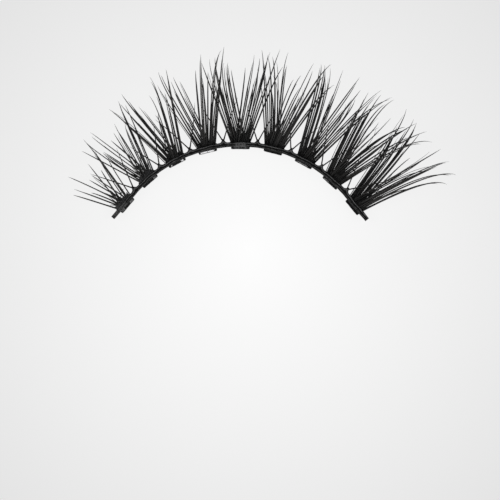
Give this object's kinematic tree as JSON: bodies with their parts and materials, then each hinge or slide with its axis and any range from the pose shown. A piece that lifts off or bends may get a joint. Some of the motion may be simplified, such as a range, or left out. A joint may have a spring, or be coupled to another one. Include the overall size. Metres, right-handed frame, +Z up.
{
  "type": "magnetic false eyelash strip",
  "caption": "Arched black false eyelash strip: curled, crossing lash clusters fan out from a thin band, and small bar magnets under the band hold it to the lash line.",
  "frame": {"origin": "middle of the contact face of the middle magnet, on the surface that the strip rests on", "axes": "+X towards the outer corner of the eye, +Y towards the lash tips, +Z up from the surface, the way the lashes curl"},
  "size_m": [0.0401, 0.0179, 0.0052],
  "materials": {
    "band": "black, satin, finely ribbed",
    "magnet": "black coating, slightly pitted, semi-gloss",
    "lash": "black fibre, soft sheen"
  },
  "bodies": {
    "root": {"band": "band", "magnet_1": "magnet", "magnet_2": "magnet", "magnet_3": "magnet", "magnet_4": "magnet", "magnet_5": "magnet", "magnet_6": "magnet", "magnet_7": "magnet", "magnet_8": "magnet", "magnet_9": "magnet", "cluster_1": "lash", "cluster_2": "lash", "cluster_3": "lash", "cluster_4": "lash", "cluster_5": "lash", "cluster_6": "lash", "cluster_7": "lash", "cluster_8": "lash", "cluster_9": "lash"}
  },
  "joints": []
}
